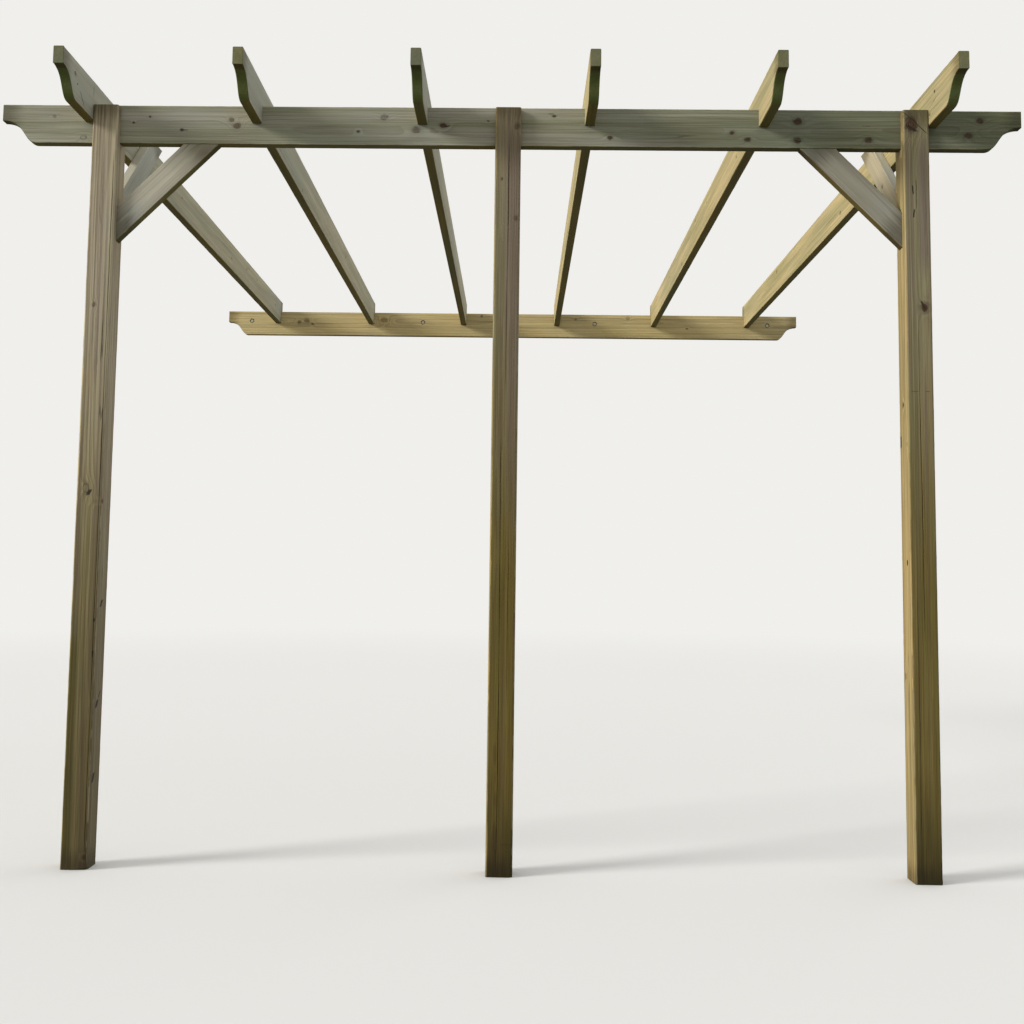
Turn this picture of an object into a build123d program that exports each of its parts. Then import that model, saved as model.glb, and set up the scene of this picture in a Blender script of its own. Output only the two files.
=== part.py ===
from build123d import *
import os

# Wooden lean-to pergola: three posts carry a front beam, six level rafters run back
# from it to a wall plate, and four knee braces stiffen the two outer posts.
# The origin is the middle of the wall plate's back face, which lies on the wall.
# +X runs to the right along the wall, +Y goes into the wall, +Z is up. Millimetres.

# Timber sections
POST_WIDTH = 90.0
BOARD_THICKNESS = 35.0
BEAM_DEPTH = 140.0
RAFTER_DEPTH = 140.0
WALL_PLATE_DEPTH = 148.0
BRACE_DEPTH = 90.0
POST_ARRIS = 6.0
BOARD_ARRIS = 3.0

# Timber lengths
BEAM_LENGTH = 3600.0
RAFTER_LENGTH = 3600.0
WALL_PLATE_LENGTH = 3600.0
POST_HEIGHT = 2640.0
FRONT_BRACE_LENGTH = 500.0

# How deep the beam stands in the posts, and the rafters over the beam and the wall plate
POST_SLOT_DEPTH = 132.0
BEAM_NOTCH = 64.0
WALL_PLATE_NOTCH = 74.0
# From a post's top down to the foot of its back brace
BACK_BRACE_DROP = 504.0

# Plan: the rafters run past the beam, and the beam past the outer rafters
FRONT_OVERHANG = 304.0
SIDE_OVERHANG = 315.0
# How far each rafter stands to the right of its even place, as it was set out by eye
RAFTER_SHIFT = [0.0, 0.0, -7.0, -10.0, 8.0, 0.0]

# The sawn S-curve at the ends of the beam, the wall plate and the rafters
OGEE_RUN = 122.0
OGEE_RISE = 80.0
# Reach of the curve's two handles, as shares of its run and rise
OGEE_COVE = 0.70
OGEE_BELLY = 0.60
OGEE_LAST_RISE = 0.96

# Sunk bolts that hold the wall plate to the wall, on one line above its middle
WALL_BOLT_COUNT = 4
WALL_BOLT_INSET = 165.0
WALL_BOLT_SHIFT = -17.5
WALL_BOLT_RISE = 14.0
WALL_BOLT_HOLE = 11.0
WALL_BOLT_RECESS = 28.0
WALL_BOLT_RECESS_DEPTH = 10.0

# Play on each side of a board in the slot or notch that it drops into
JOINT_PLAY = 0.3
# Extra length of a blank or a cutter past the face that it crosses
WASTE = 60.0

PLATE_TOP_Z = WALL_PLATE_DEPTH / 2
RAFTER_BOTTOM_Z = PLATE_TOP_Z - WALL_PLATE_NOTCH
RAFTER_TOP_Z = RAFTER_BOTTOM_Z + RAFTER_DEPTH
BEAM_TOP_Z = RAFTER_BOTTOM_Z + BEAM_NOTCH
BEAM_BOTTOM_Z = BEAM_TOP_Z - BEAM_DEPTH
POST_TOP_Z = BEAM_BOTTOM_Z + POST_SLOT_DEPTH
GROUND = POST_TOP_Z - POST_HEIGHT
FRONT_TIP_Y = -RAFTER_LENGTH
BEAM_FRONT_Y = FRONT_TIP_Y + FRONT_OVERHANG
BEAM_MIDDLE_Y = BEAM_FRONT_Y + BOARD_THICKNESS / 2
POST_BACK_Y = BEAM_MIDDLE_Y + POST_WIDTH / 2
RAFTER_COUNT = len(RAFTER_SHIFT)
RAFTER_PITCH = (BEAM_LENGTH - 2 * SIDE_OVERHANG) / (RAFTER_COUNT - 1)
RAFTER_X = [
    (i - (RAFTER_COUNT - 1) / 2) * RAFTER_PITCH + RAFTER_SHIFT[i] for i in range(RAFTER_COUNT)
]
WALL_BOLT_PITCH = (WALL_PLATE_LENGTH - 2 * WALL_BOLT_INSET) / (WALL_BOLT_COUNT - 1)
WALL_BOLT_X = [
    (i - (WALL_BOLT_COUNT - 1) / 2) * WALL_BOLT_PITCH + WALL_BOLT_SHIFT
    for i in range(WALL_BOLT_COUNT)
]
# The outer posts stand against the inner faces of the outer rafters
POST_LEFT_X = RAFTER_X[0] + BOARD_THICKNESS / 2 + POST_WIDTH / 2
POST_RIGHT_X = RAFTER_X[-1] - BOARD_THICKNESS / 2 - POST_WIDTH / 2
POST_CENTRE_X = 0.0


def block(x0, x1, y0, y1, z0, z1):
    """A plain box between two corners."""
    solid = Box(x1 - x0, y1 - y0, z1 - z0, align=(Align.MIN, Align.MIN, Align.MIN))
    return Pos(x0, y0, z0) * solid


def bar_along_x(length, thickness, depth, radius):
    """A planed board with eased arrises, lying along X, wide face to the front,
    with its middle at the origin."""
    section = Plane.YZ * RectangleRounded(thickness, depth, radius)
    return extrude(section, amount=length / 2, both=True)


def ogee_cutter(depth, across):
    """What the saw takes off the lower corner of a board end. The end face is at
    X = 0, the board runs towards +X, and its underside is at Z = -depth / 2."""
    low = -depth / 2
    start = (0, low + OGEE_RISE)
    end = (OGEE_RUN, low)
    belly = (OGEE_RUN * OGEE_BELLY, low + OGEE_RISE * (1 - OGEE_LAST_RISE))
    with BuildSketch(Plane.XZ) as waste:
        with BuildLine():
            Bezier(start, (OGEE_RUN * OGEE_COVE, low + OGEE_RISE), belly, end)
            Polyline(end, (OGEE_RUN, low - WASTE), (-WASTE, low - WASTE), (-WASTE, start[1]), start)
        make_face()
    return extrude(waste.sketch, amount=across / 2 + WASTE, both=True)


def board_along_x(length, thickness, depth, ogee_left, ogee_right):
    """A planed board along X with an S-curve at one end or both."""
    board = bar_along_x(length, thickness, depth, BOARD_ARRIS)
    cutter = ogee_cutter(depth, thickness)
    if ogee_left:
        board -= Pos(-length / 2, 0, 0) * cutter
    if ogee_right:
        board -= Pos(length / 2, 0, 0) * mirror(cutter, Plane.YZ)
    return board


def make_front_beam():
    """The long beam in the slots of the three posts."""
    board = board_along_x(BEAM_LENGTH, BOARD_THICKNESS, BEAM_DEPTH, True, True)
    return Pos(0, BEAM_MIDDLE_Y, BEAM_BOTTOM_Z + BEAM_DEPTH / 2) * board


def round_cutter(x, y, z, diameter, length):
    """A round cutter along Y whose middle is at the given point."""
    return Pos(x, y, z) * Rot(90, 0, 0) * Cylinder(diameter / 2, length)


def make_wall_plate():
    """The plate on the wall that carries the back ends of the rafters, with its bolt
    holes, each sunk at the front to take the bolt's head."""
    board = board_along_x(WALL_PLATE_LENGTH, BOARD_THICKNESS, WALL_PLATE_DEPTH, True, True)
    plate = Pos(0, -BOARD_THICKNESS / 2, 0) * board
    for x in WALL_BOLT_X:
        plate -= round_cutter(x, 0, WALL_BOLT_RISE, WALL_BOLT_HOLE, 2 * BOARD_THICKNESS + WASTE)
        plate -= round_cutter(
            x, -BOARD_THICKNESS, WALL_BOLT_RISE, WALL_BOLT_RECESS, 2 * WALL_BOLT_RECESS_DEPTH
        )
    return plate


def make_rafter(x):
    """A rafter notched over the beam and over the wall plate."""
    board = board_along_x(RAFTER_LENGTH, BOARD_THICKNESS, RAFTER_DEPTH, True, False)
    middle_z = RAFTER_BOTTOM_Z + RAFTER_DEPTH / 2
    rafter = Pos(x, -RAFTER_LENGTH / 2, middle_z) * Rot(0, 0, 90) * board
    left = x - BOARD_THICKNESS / 2 - WASTE
    right = x + BOARD_THICKNESS / 2 + WASTE
    below = RAFTER_BOTTOM_Z - WASTE
    beam_front = BEAM_FRONT_Y - JOINT_PLAY
    beam_back = BEAM_FRONT_Y + BOARD_THICKNESS + JOINT_PLAY
    rafter -= block(left, right, beam_front, beam_back, below, BEAM_TOP_Z)
    plate_front = -BOARD_THICKNESS - JOINT_PLAY
    rafter -= block(left, right, plate_front, WASTE, below, PLATE_TOP_Z)
    return rafter


def make_post(x):
    """A square post whose slotted top holds the beam between two cheeks."""
    section = RectangleRounded(POST_WIDTH, POST_WIDTH, POST_ARRIS)
    post = Pos(x, BEAM_MIDDLE_Y, GROUND) * extrude(section, amount=POST_HEIGHT)
    slot_half = BOARD_THICKNESS / 2 + JOINT_PLAY
    slot = block(
        x - POST_WIDTH, x + POST_WIDTH,
        BEAM_MIDDLE_Y - slot_half, BEAM_MIDDLE_Y + slot_half,
        BEAM_BOTTOM_Z, POST_TOP_Z + WASTE,
    )
    return post - slot


def knee_brace(leg):
    """A 45 degree brace in the XZ plane. Its lower end is cut plumb at X = 0, its upper
    end is cut level at Z = 0, and its long lower edge runs from (0, -leg) to (leg, 0)."""
    length = leg * 2 ** 0.5 + 2 * BRACE_DEPTH
    bar = bar_along_x(length, BOARD_THICKNESS, BRACE_DEPTH, BOARD_ARRIS)
    shift = BRACE_DEPTH / 2 / 2 ** 0.5
    brace = Pos(leg / 2 - shift, 0, -leg / 2 + shift) * Rot(0, -45, 0) * bar
    reach = leg + 4 * BRACE_DEPTH
    side = BOARD_THICKNESS + WASTE
    brace -= block(-reach, 0, -side, side, -reach, reach)
    brace -= block(-reach, reach, -side, side, 0, reach)
    return brace


def make_front_brace(side):
    """The brace between an outer post and the beam: side is -1 left, 1 right."""
    brace = knee_brace(FRONT_BRACE_LENGTH / 2 ** 0.5)
    if side < 0:
        return Pos(POST_LEFT_X + POST_WIDTH / 2, BEAM_MIDDLE_Y, BEAM_BOTTOM_Z) * brace
    brace = mirror(brace, Plane.YZ)
    return Pos(POST_RIGHT_X - POST_WIDTH / 2, BEAM_MIDDLE_Y, BEAM_BOTTOM_Z) * brace


def make_back_brace(side):
    """The brace from the back of an outer post up the inner face of its rafter, where
    it is cut off level with the rafter's top."""
    leg = RAFTER_TOP_Z - (POST_TOP_Z - BACK_BRACE_DROP)
    brace = Rot(0, 0, 90) * knee_brace(leg)
    rafter_x = RAFTER_X[0] if side < 0 else RAFTER_X[-1]
    x = rafter_x - side * BOARD_THICKNESS
    return Pos(x, POST_BACK_Y, RAFTER_TOP_Z) * brace


pieces = {
    "front_beam": make_front_beam(),
    "wall_plate": make_wall_plate(),
    "post_left": make_post(POST_LEFT_X),
    "post_centre": make_post(POST_CENTRE_X),
    "post_right": make_post(POST_RIGHT_X),
    "front_brace_left": make_front_brace(-1),
    "front_brace_right": make_front_brace(1),
    "back_brace_left": make_back_brace(-1),
    "back_brace_right": make_back_brace(1),
}
for number, rafter_x in enumerate(RAFTER_X, start=1):
    pieces[f"rafter_{number}"] = make_rafter(rafter_x)

os.makedirs("parts", exist_ok=True)
for name, piece in pieces.items():
    export_step(piece, f"parts/{name}.step")
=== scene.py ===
"""Looks of a lean-to timber pergola: pressure-treated softwood, its fixings and a plain studio."""

import inspect
import math
import random
from collections import namedtuple

import bmesh
import bpy
from bmesh.types import BMEdge, BMFace, BMVert
from mathutils import Matrix, Vector, noise


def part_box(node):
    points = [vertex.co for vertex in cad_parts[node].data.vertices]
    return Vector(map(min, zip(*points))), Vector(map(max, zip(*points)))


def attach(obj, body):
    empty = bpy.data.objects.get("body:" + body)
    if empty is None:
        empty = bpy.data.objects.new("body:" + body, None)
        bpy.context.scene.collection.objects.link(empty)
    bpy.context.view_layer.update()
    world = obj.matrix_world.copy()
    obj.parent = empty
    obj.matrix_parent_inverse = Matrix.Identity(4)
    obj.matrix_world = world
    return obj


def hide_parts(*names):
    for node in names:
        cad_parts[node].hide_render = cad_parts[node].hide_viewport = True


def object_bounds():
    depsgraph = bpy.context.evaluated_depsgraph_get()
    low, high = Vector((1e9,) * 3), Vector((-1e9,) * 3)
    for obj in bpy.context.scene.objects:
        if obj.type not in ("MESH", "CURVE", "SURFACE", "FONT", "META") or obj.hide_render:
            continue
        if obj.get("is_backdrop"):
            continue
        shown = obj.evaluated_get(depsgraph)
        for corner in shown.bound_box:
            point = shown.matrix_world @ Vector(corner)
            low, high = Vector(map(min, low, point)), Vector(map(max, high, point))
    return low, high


bl_info = {
    "name": "Lean-to Timber Pergola",
    "version": (1, 0, 0),
    "blender": (4, 5, 0),
    "location": "View3D > Sidebar > Pergola",
    "description": "Builds the weathered timber, the fixings and the studio of a lean-to pergola",
    "category": "Object",
}

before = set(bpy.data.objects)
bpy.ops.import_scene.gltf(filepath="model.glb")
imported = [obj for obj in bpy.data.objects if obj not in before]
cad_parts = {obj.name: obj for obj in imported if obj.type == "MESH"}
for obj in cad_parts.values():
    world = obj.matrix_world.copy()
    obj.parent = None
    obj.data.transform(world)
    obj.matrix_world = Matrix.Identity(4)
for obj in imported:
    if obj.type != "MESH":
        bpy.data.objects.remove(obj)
cad_low, cad_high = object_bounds()

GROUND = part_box("post_left")[0].z
BEAM_LOW, BEAM_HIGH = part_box("front_beam")
PLATE_LOW, PLATE_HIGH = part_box("wall_plate")

# Timber sizes that the CAD boxes don't give, in metres
BOARD_THICKNESS = BEAM_HIGH.y - BEAM_LOW.y
BOARD_ARRIS = 0.003
POST_ARRIS = 0.006
END_ARRIS = 0.0015
BRACE_DEPTH = 0.09
SLOT_DEPTH = 0.132
JOINT_PLAY = 0.0003
RAFTER_LENGTH = 3.6
BOARD_DEPTH = 0.14
OGEE_RUN = 0.122
OGEE_RISE = 0.080
# Reach of the curve's handles, as shares of its run and rise
OGEE_COVE = 0.70
OGEE_BELLY = 0.60
OGEE_LAST_RISE = 0.96
# Cuts across the run of the curve, from the board's end
OGEE_CUTS = [OGEE_RUN * (i + 1) / 20 for i in range(20)]
# Distance between the cuts that divide a long face, and a step that stands for an upright wall
CUT_SPACING = 0.012
WALL_STEP = 0.00004
# A drying crack closes over this length at either end
CHECK_TAPER = 0.08
# How much longer than deep a knot is, how fast a mark fades between two faces, in shares per
# metre, and how far film creeps from the wet end of a board
KNOT_STRETCH = 1.35
FACE_FADE = 150.0
FILM_REACH = 2.2
# Two places count as one when they lie nearer than this, and a finer limit for scored lines
TINY = 1e-6
SCORE_PLAY = 1e-7

ALONG_X, ALONG_Y, ALONG_Z = (1, 0, 0), (0, 1, 0), (0, 0, 1)
OUTWARD_LEFT, FRONT, UP = (-1, 0, 0), (0, -1, 0), (0, 0, 1)

# The sunk bolts of the wall plate, on one line above its middle
WALL_BOLT_X = (-1.6525, -0.5625, 0.5275, 1.6175)
WALL_BOLT_Z = 0.014
WALL_BOLT_RECESS = 0.010
# Play of a bolt in its washer, and how far a screw head stands out, so that it shows
WASHER_PLAY = 0.0003
SCREW_PROUD = 0.0002
# Screws behind a post, from its middle line, and beside a back brace: each a place and a height
POST_SCREWS = ((-0.02, 0.028), (0.02, -0.044))
BRACE_SCREWS = ((-2.772, 0.052), (-2.700, 0.092))

# The floor lies round this place, and far from it fades into the background
FLOOR_Y = -1.6
FLOOR_RADIUS = 60.0
FADE_START, FADE_END = 5.0, 16.0
# How much of the floor's light falls back on the pergola, so that its undersides stay dark
FLOOR_BOUNCE = 0.33
# Where the lamps shine from, and how wide they look, in radians
KEY_DIRECTION, KEY_SOFTNESS = (-0.86, -0.34, 0.38), 0.3
SIDE_DIRECTION, SIDE_SOFTNESS = (0.85, 0.35, 0.30), 1.2
WHITE = (1.0, 1.0, 1.0, 1.0)

# A knot lies this far along the board and across it from its middle. Heart is how strongly its
# dark middle shows beside its bark line. Face is -1 for the front or outer face, 1 for the other
# one and 0 for a knot that goes right through. Turned knots lie on the faces at right angles.
Knot = namedtuple("Knot", "along across radius heart face turned", defaults=(1.0, 0, False))

# A scar is a short dark mark or crack on the face: its middle, its half length and half width,
# and how far it climbs across the board for each metre along it. Face and turned are as for a
# knot. Stripes of heartwood and films of algae are laid out likewise.
Scar = namedtuple("Scar", "along across reach breadth slope face turned", defaults=(0.0, -1, False))

# A check is a long crack that opens as the timber dries. Across is its place on its face, which
# is -1 or 1 as for a knot, and it runs from start to finish along the board, all from its middle.
# Slope is how far it climbs across the board for each metre along it.
Check = namedtuple("Check", "across start finish width deep face turned slope", defaults=(False, 0.0))

# A chip splits off all that lies beyond a point, seen in the outward direction, both in the
# board's own directions and the point from the board's middle, in metres.
Chip = namedtuple("Chip", "point outward")

# The pith is the heart of the tree, given from the board's middle, across its thickness and
# its depth. Lean is how far the board was sawn off the tree's own line, in the same order.
# Green is how much algae it carries, more towards its far end, or towards its near end if minus.
# Wet is how far up from the ground it is darker, partly damp staining and partly painted shade.
# Tone is its brightness beside its like; the lower tone of the centre and right posts and of the
# right-hand braces is painted shade.
Timber = namedtuple(
    "Timber",
    "node look grain side pith lean ring seed green knots checks scars stripes films wet tone chips",
    defaults=((), (), (), (), (), 0.3, 1.0, ()),
)

# How strongly each part of the figure of the wood shows on one kind of timber. Silver greys weathered
# patches and the painted shaded side, and sun is the share of painted sunlight on the side facing -X.
Finish = namedtuple("Finish", "rings years bands streaks treatment silver sun")
FINISHES = {
    "beam": Finish(0.36, 0.10, 0.08, 0.33, 0.45, 0.25, 0.3),
    "plate": Finish(0.30, 0.15, 0.15, 0.27, 0.15, 0.10, 0.3),
    "post": Finish(0.55, 0.18, 0.30, 0.44, 0.15, 0.22, 0.6),
    "damp_post": Finish(0.62, 0.16, 0.17, 0.46, 0.30, 0.10, 0.65),
    "rafter": Finish(0.32, 0.12, 0.12, 0.24, 0.44, 0.60, 0.4),
    "brace": Finish(0.21, 0.10, 0.12, 0.19, 0.15, 0.60, 0.3),
}


def linear(code):
    """A colour written as six hexadecimal digits, as the linear values that a shader takes."""
    parts = [int(code[i:i + 2], 16) / 255 for i in (0, 2, 4)]
    return tuple(c / 12.92 if c <= 0.04045 else ((c + 0.055) / 1.055) ** 2.4 for c in parts)


BACKGROUND = (*linear("f0efec"), 1.0)


def colour_property(name, description, code):
    return bpy.props.FloatVectorProperty(
        name=name, description=description, subtype="COLOR", size=3, min=0, max=1,
        default=linear(code),
    )


def number_property(name, description, default, **limits):
    return bpy.props.FloatProperty(name=name, description=description, default=default, **limits)


def length_property(name, description, default, low, high):
    return number_property(name, description, default, min=low, max=high, unit="LENGTH")


class PergolaTimberLook(bpy.types.PropertyGroup):
    """Colours of the treated softwood, with painted sunlight, shade and highlight laid over it."""

    # The beam is painted darker and the wall plate paler than their timber: painted shade on the beam,
    # painted sunlight on the plate
    beam: colour_property("Beam", "Pale wood of the front beam", "aeac99")
    plate: colour_property("Wall plate", "Pale wood of the wall plate", "e0ca8c")
    post: colour_property("Post", "Pale wood of the left post", "c4b796")
    # The centre and right posts are painted darker than the left post: painted shade
    damp_post: colour_property("Damp post", "Pale wood of the centre and right posts", "aa9e78")
    rafter: colour_property("Rafter", "Pale wood of the rafters", "c4b788")
    brace: colour_property("Brace", "Pale wood of the braces", "c2bda8")
    late_wood: colour_property("Late wood", "Dark side of each growth ring", "5f4e33")
    heartwood: colour_property("Heartwood", "Purplish stripes between the rings", "776762")
    algae: colour_property("Algae", "Tint of the green film on damp posts", "c4b650")
    moss: colour_property("Moss", "Tint of the green film on the boards", "adb69e")
    treatment: colour_property("Treatment", "Green cast of the preservative", "6f7848")
    # Greys weathered patches, and as painted shade lays a bluish sky-lit grey on the side facing +X
    silver: colour_property("Silver", "Wood greyed by the weather", "969f9c")
    # Painted sunlight: the side facing -X is painted paler and golden, as if sunlit
    bleached: colour_property("Bleached", "Sides that the sun dries out", "dab773")
    # Darkens ends that soak up water, and the timber towards the ground, partly damp staining and partly
    # painted shade
    damp: colour_property("Damp", "Tint of timber that stays wet", "b0aca0")
    # Darkens and greens the faces that point down: algae and painted shade
    underside: colour_property("Underside", "Tint of timber that faces down", "a49b58")
    sawn: colour_property("Sawn curve", "Curved cuts that soaked up the preservative", "556430")
    butt: colour_property("Sawn end", "Square ends that soaked up the preservative", "6b714a")
    knot_heart: colour_property("Knot heart", "Middle of a knot", "54351f")
    knot_rim: colour_property("Knot rim", "Bark line round a knot", "221509")
    crack: colour_property("Crack", "Bottom of a drying crack", "2b2418")
    # A paler band along the long edges: rubbed wear and painted highlight
    arris: colour_property("Arris", "Rubbed edge of a board", "c3b794")


class PergolaFixings(bpy.types.PropertyGroup):
    """Sizes and colours of the wall bolts and the screws."""

    bolt_head: length_property("Bolt head", "Width of a bolt head across its flats", 0.017, 0.008, 0.024)
    bolt_head_height: length_property("Head height", "Height of a bolt head", 0.0064, 0.002, 0.008)
    bolt_shank: length_property("Bolt shank", "Diameter of a bolt's shank", 0.010, 0.004, 0.011)
    washer: length_property("Washer", "Diameter of a bolt's washer", 0.024, 0.012, 0.028)
    washer_thickness: length_property("Washer thickness", "Thickness of a washer", 0.002, 0.001, 0.003)
    screw_head: length_property("Screw head", "Diameter of a screw's head", 0.0095, 0.004, 0.014)
    steel: colour_property("Steel", "Dull zinc of the bolts and the screws", "a8a291")
    white_rust: colour_property("White rust", "Bloom on the weathered zinc", "bab39f")


class PergolaStudio(bpy.types.PropertyGroup):
    """The camera, the lights and the floor."""

    focal_length: number_property(
        "Focal length", "Lens of the camera on a 36 mm sensor", 40.57, min=10, max=200, unit="CAMERA",
    )
    camera_place: bpy.props.FloatVectorProperty(
        name="Camera place", description="Where the camera stands",
        default=(0.0434, -7.2522, -1.587), subtype="TRANSLATION", unit="LENGTH",
    )
    camera_pan: number_property("Pan", "Turn of the camera to the left", 0.01631, subtype="ANGLE")
    camera_tilt: number_property("Tilt", "How far the camera looks up", 0.08495, subtype="ANGLE")
    camera_roll: number_property("Roll", "Anticlockwise turn of the camera", 0.01339, subtype="ANGLE")
    camera_shift: bpy.props.FloatVectorProperty(
        name="Shift", description="Shift of the lens that the photograph's crop needs",
        default=(0.0139, -0.0333), size=2,
    )
    key: number_property("Key light", "Strength of the light from the left", 2.8, min=0, max=10)
    side: number_property("Side light", "Strength of the light from the right", 0.85, min=0, max=10)
    fill: number_property("Fill light", "Strength of the light all round", 0.62, min=0, max=4)
    floor: colour_property("Floor", "Pale floor", "e4e3df")


def sign(operation):
    """The two methods by which an arithmetic sign adds a Math node, from either side of it."""

    def forward(self, other):
        return self.graph.math(operation, self, other)

    def backward(self, other):
        return self.graph.math(operation, other, self)

    return forward, backward


class Value:
    """What a node puts out. Arithmetic on it adds Math nodes to its graph."""

    __add__, __radd__ = sign("ADD")
    __sub__, __rsub__ = sign("SUBTRACT")
    __mul__, __rmul__ = sign("MULTIPLY")
    __truediv__, __rtruediv__ = sign("DIVIDE")

    def __init__(self, graph, socket):
        self.graph = graph
        self.socket = socket

    def __abs__(self):
        return self.graph.math("ABSOLUTE", self)

    def clamped(self):
        """Keeps what the Math node puts out between 0 and 1."""
        self.socket.node.use_clamp = True
        return self


class Graph:
    """Short ways to add and join the nodes of one shader tree."""

    def __init__(self, tree):
        self.tree = tree

    def add(self, kind, inputs=None, **settings):
        """Adds a node, sets it up and feeds its inputs."""
        made = self.tree.nodes.new(kind)
        for name, value in settings.items():
            setattr(made, name, value)
        for name, value in (inputs or {}).items():
            if isinstance(value, Value):
                self.tree.links.new(value.socket, made.inputs[name])
            else:
                made.inputs[name].default_value = value
        return made

    def node(self, kind, inputs=None, output=0, **settings):
        """Adds a node and gives one of its outputs."""
        return Value(self, self.add(kind, inputs, **settings).outputs[output])

    def outputs(self, kind, inputs=None, **settings):
        """Adds a node and gives all its outputs by name."""
        made = self.add(kind, inputs, **settings)
        return {socket.name: Value(self, socket) for socket in made.outputs}

    def math(self, operation, first, second=0.0):
        return self.node("ShaderNodeMath", {0: first, 1: second}, operation=operation)

    def larger(self, first, second):
        return self.math("MAXIMUM", first, second)

    def distance(self, first, second):
        """How far off a place lies whose distances along two axes are given."""
        return self.math("SQRT", first * first + second * second)

    def smooth(self, value, low, high):
        """0 below low and 1 above high, or the other way round where high is below low."""
        start, finish = (0.0, 1.0) if high > low else (1.0, 0.0)
        return self.node("ShaderNodeMapRange", {
            "Value": value, "From Min": min(low, high), "From Max": max(low, high),
            "To Min": start, "To Max": finish,
        }, interpolation_type="SMOOTHSTEP")

    def mix(self, share, first, second, blend="MIX"):
        first, second = (c if isinstance(c, Value) else (*c, 1.0) for c in (first, second))
        return self.node(
            "ShaderNodeMix", {0: share, 6: first, 7: second}, 2, data_type="RGBA", blend_type=blend,
        )

    def noise(self, vector, along, across, seed=0.0, detail=2.0, roughness=0.5):
        """Noise that is stretched by one number along the grain and by another across it."""
        shift = self.join(seed, seed, seed) if isinstance(seed, Value) else (seed, seed, seed)
        place = self.node("ShaderNodeVectorMath", {
            0: vector, 1: (along, across, across), 2: shift,
        }, operation="MULTIPLY_ADD")
        return self.node("ShaderNodeTexNoise", {
            "Vector": place, "Scale": 1.0, "Detail": detail, "Roughness": roughness,
        })

    def split(self, vector):
        return self.outputs("ShaderNodeSeparateXYZ", {"Vector": vector}).values()

    def join(self, x, y=0.0, z=0.0):
        return self.node("ShaderNodeCombineXYZ", {"X": x, "Y": y, "Z": z})

    def on_face(self, y, face):
        """1 on the face that a mark lies on, 0 on the other one, and a short fade in between."""
        return (y * face * FACE_FADE + 0.2).clamped()

    def group(self, name, **inputs):
        fed = {socket_label(argument): value for argument, value in inputs.items()}
        return self.outputs("ShaderNodeGroup", fed, node_tree=bpy.data.node_groups[name])


def with_graph(owner):
    """A new material or world, and the graph of its shader tree, which is still empty."""
    owner.use_nodes = True
    owner.node_tree.nodes.clear()
    return owner, Graph(owner.node_tree)


GROUPS = {}
VECTORS = ("board", "pith", "place", "facing", "grain")


def socket_label(argument):
    return argument.replace("_", " ").capitalize()


def shader_group(name, *outputs):
    """Lists a function that fills a node group. It takes the graph and the group's inputs by
    their names, and gives the group's outputs in their order."""

    def keep(fill):
        GROUPS[name] = fill, outputs
        return fill

    return keep


def build_group(name, fill, outputs):
    """Makes a node group. The inputs listed in VECTORS are vectors, and all others are numbers."""
    tree = bpy.data.node_groups.new(name, "ShaderNodeTree")
    arguments = list(inspect.signature(fill).parameters)[1:]
    for argument in arguments:
        kind = "NodeSocketVector" if argument in VECTORS else "NodeSocketFloat"
        tree.interface.new_socket(name=socket_label(argument), in_out="INPUT", socket_type=kind)
    for label in outputs:
        tree.interface.new_socket(name=label, in_out="OUTPUT", socket_type="NodeSocketFloat")
    g = Graph(tree)
    given = g.outputs("NodeGroupInput")
    results = fill(g, *(given[socket_label(argument)] for argument in arguments))
    g.add("NodeGroupOutput", dict(zip(outputs, results)))


@shader_group("Knot", "Lift", "Heart", "Rim")
def knot_group(g, board, along, across, radius, face, strength, lift, heart, rim):
    """One knot. It bends the growth rings round itself, and has a heart and a bark rim."""
    x, y, z = g.split(board)
    ragged = g.noise(board, 70.0, 70.0, detail=1.0) - 0.5
    reach = g.distance((x - along) / KNOT_STRETCH, z - across) / radius + ragged * 0.7
    side = g.larger(1.0 - abs(face), g.on_face(y, face))
    yearly = g.smooth(abs(g.math("FRACT", reach * 2.6) - 0.5), 0.0, 0.5)
    middle = g.smooth(reach, 1.1, 0.6) * (0.45 + yearly * 0.55) * side * strength
    broken = g.smooth(g.noise(board, 60.0, 60.0, 3.0, 1.0), 0.25, 0.7)
    bark = side * g.smooth(abs((reach - 1.0) / 0.3), 1.0, 0.0) * (0.3 + broken * 0.7)
    stain = g.smooth(reach, 2.1, 0.9) * side * 0.2
    swell = 1.0 / (1.0 + g.math("POWER", reach / 1.9, 3.0)) * side * (radius * 1.3)
    return lift + swell, g.larger(heart, middle), g.larger(rim, g.larger(bark, stain * strength))


@shader_group("Scar", "Mark")
def scar_group(g, board, along, across, reach, breadth, slope, face, mark):
    """A short dark mark across or along the grain."""
    x, y, z = g.split(board)
    wobble = g.noise(board, 55.0, 55.0) - 0.5
    off_along = x - along
    off_across = z - across - off_along * slope + wobble * 0.004
    thin = g.smooth(abs(off_across) / breadth, 1.3, 0.5)
    short = g.smooth(abs(off_along) / reach, 1.0, 0.6)
    return (g.larger(mark, thin * short * g.on_face(y, face)),)


@shader_group("Growth rings", "Late", "Year")
def growth_group(g, pith, lift, ring_width):
    """Growth rings round the pith: pale early wood that darkens to a sharp late-wood line."""
    x, y, z = g.split(pith)
    sway = g.noise(pith, 0.9, 7.0) - 0.5
    ripple = g.noise(pith, 9.0, 30.0, detail=1.0) - 0.5
    radius = g.distance(y, z) + lift + sway * 0.014 + ripple * 0.0025
    uneven = g.noise(g.join(radius), 75.0, 75.0, detail=0.0) - 0.5
    phase = radius / ring_width + uneven * 2.2
    part = g.math("FRACT", phase)
    late = g.smooth(part, 0.25, 0.9) * g.smooth(part, 1.0, 0.93)
    early = g.smooth(part, 0.0, 0.12) * g.smooth(part, 1.0, 0.9)
    year = g.node("ShaderNodeTexWhiteNoise", {"W": g.math("FLOOR", phase)}, noise_dimensions="1D")
    return late * (0.3 + year * 0.7), year * early


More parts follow.
